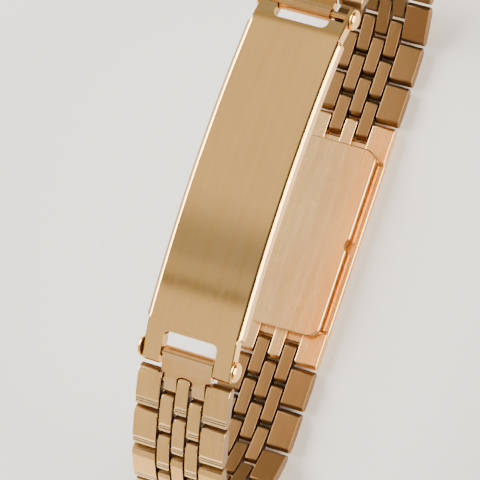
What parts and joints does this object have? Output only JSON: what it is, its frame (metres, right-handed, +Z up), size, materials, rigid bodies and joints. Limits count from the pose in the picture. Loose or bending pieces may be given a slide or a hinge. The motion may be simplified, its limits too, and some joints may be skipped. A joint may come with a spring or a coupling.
{
  "type": "id bracelet",
  "caption": "Gold-tone identity bracelet with a long blank arched plate on forked hinges, a band of narrow and wide links and a plain folded clasp, closed and lying plate up.",
  "frame": {"origin": "middle of the bracelet's footprint, at the level that it rests on", "axes": "+Z up through the plate, +Y along the bracelet towards its far end, +X across the band"},
  "size_m": [0.0132, 0.0758, 0.0344],
  "materials": {
    "plate_gold": "polished with fine lengthwise brushing",
    "tab_gold": "polished",
    "pin_gold": "bright polished",
    "link_gold": "fine brushed with bright edges",
    "clasp_gold": "polished"
  },
  "bodies": {
    "root": {"id_plate": "plate_gold", "clasp": "clasp_gold", "hinge_pin_near": "pin_gold", "hinge_pin_far": "pin_gold", "end_tab_near": "tab_gold", "end_tab_far": "tab_gold", "near_row_01_trio": "link_gold", "near_row_01_pair": "link_gold", "near_row_02_trio": "link_gold", "near_row_02_pair": "link_gold", "near_row_03_trio": "link_gold", "near_row_03_pair": "link_gold", "near_row_04_trio": "link_gold", "near_row_04_pair": "link_gold", "near_row_05_trio": "link_gold", "near_row_05_pair": "link_gold", "near_row_06_trio": "link_gold", "near_row_06_pair": "link_gold", "near_row_07_trio": "link_gold", "near_row_07_pair": "link_gold", "near_row_08_trio": "link_gold", "near_row_08_pair": "link_gold", "near_row_09_trio": "link_gold", "near_row_09_pair": "link_gold", "far_row_01_trio": "link_gold", "far_row_01_pair": "link_gold", "far_row_02_trio": "link_gold", "far_row_02_pair": "link_gold", "far_row_03_trio": "link_gold", "far_row_03_pair": "link_gold", "far_row_04_trio": "link_gold", "far_row_04_pair": "link_gold", "far_row_05_trio": "link_gold", "far_row_05_pair": "link_gold", "far_row_06_trio": "link_gold", "far_row_06_pair": "link_gold", "far_row_07_trio": "link_gold", "far_row_07_pair": "link_gold", "far_row_08_trio": "link_gold", "far_row_08_pair": "link_gold", "far_row_09_trio": "link_gold", "far_row_09_pair": "link_gold"}
  },
  "joints": []
}
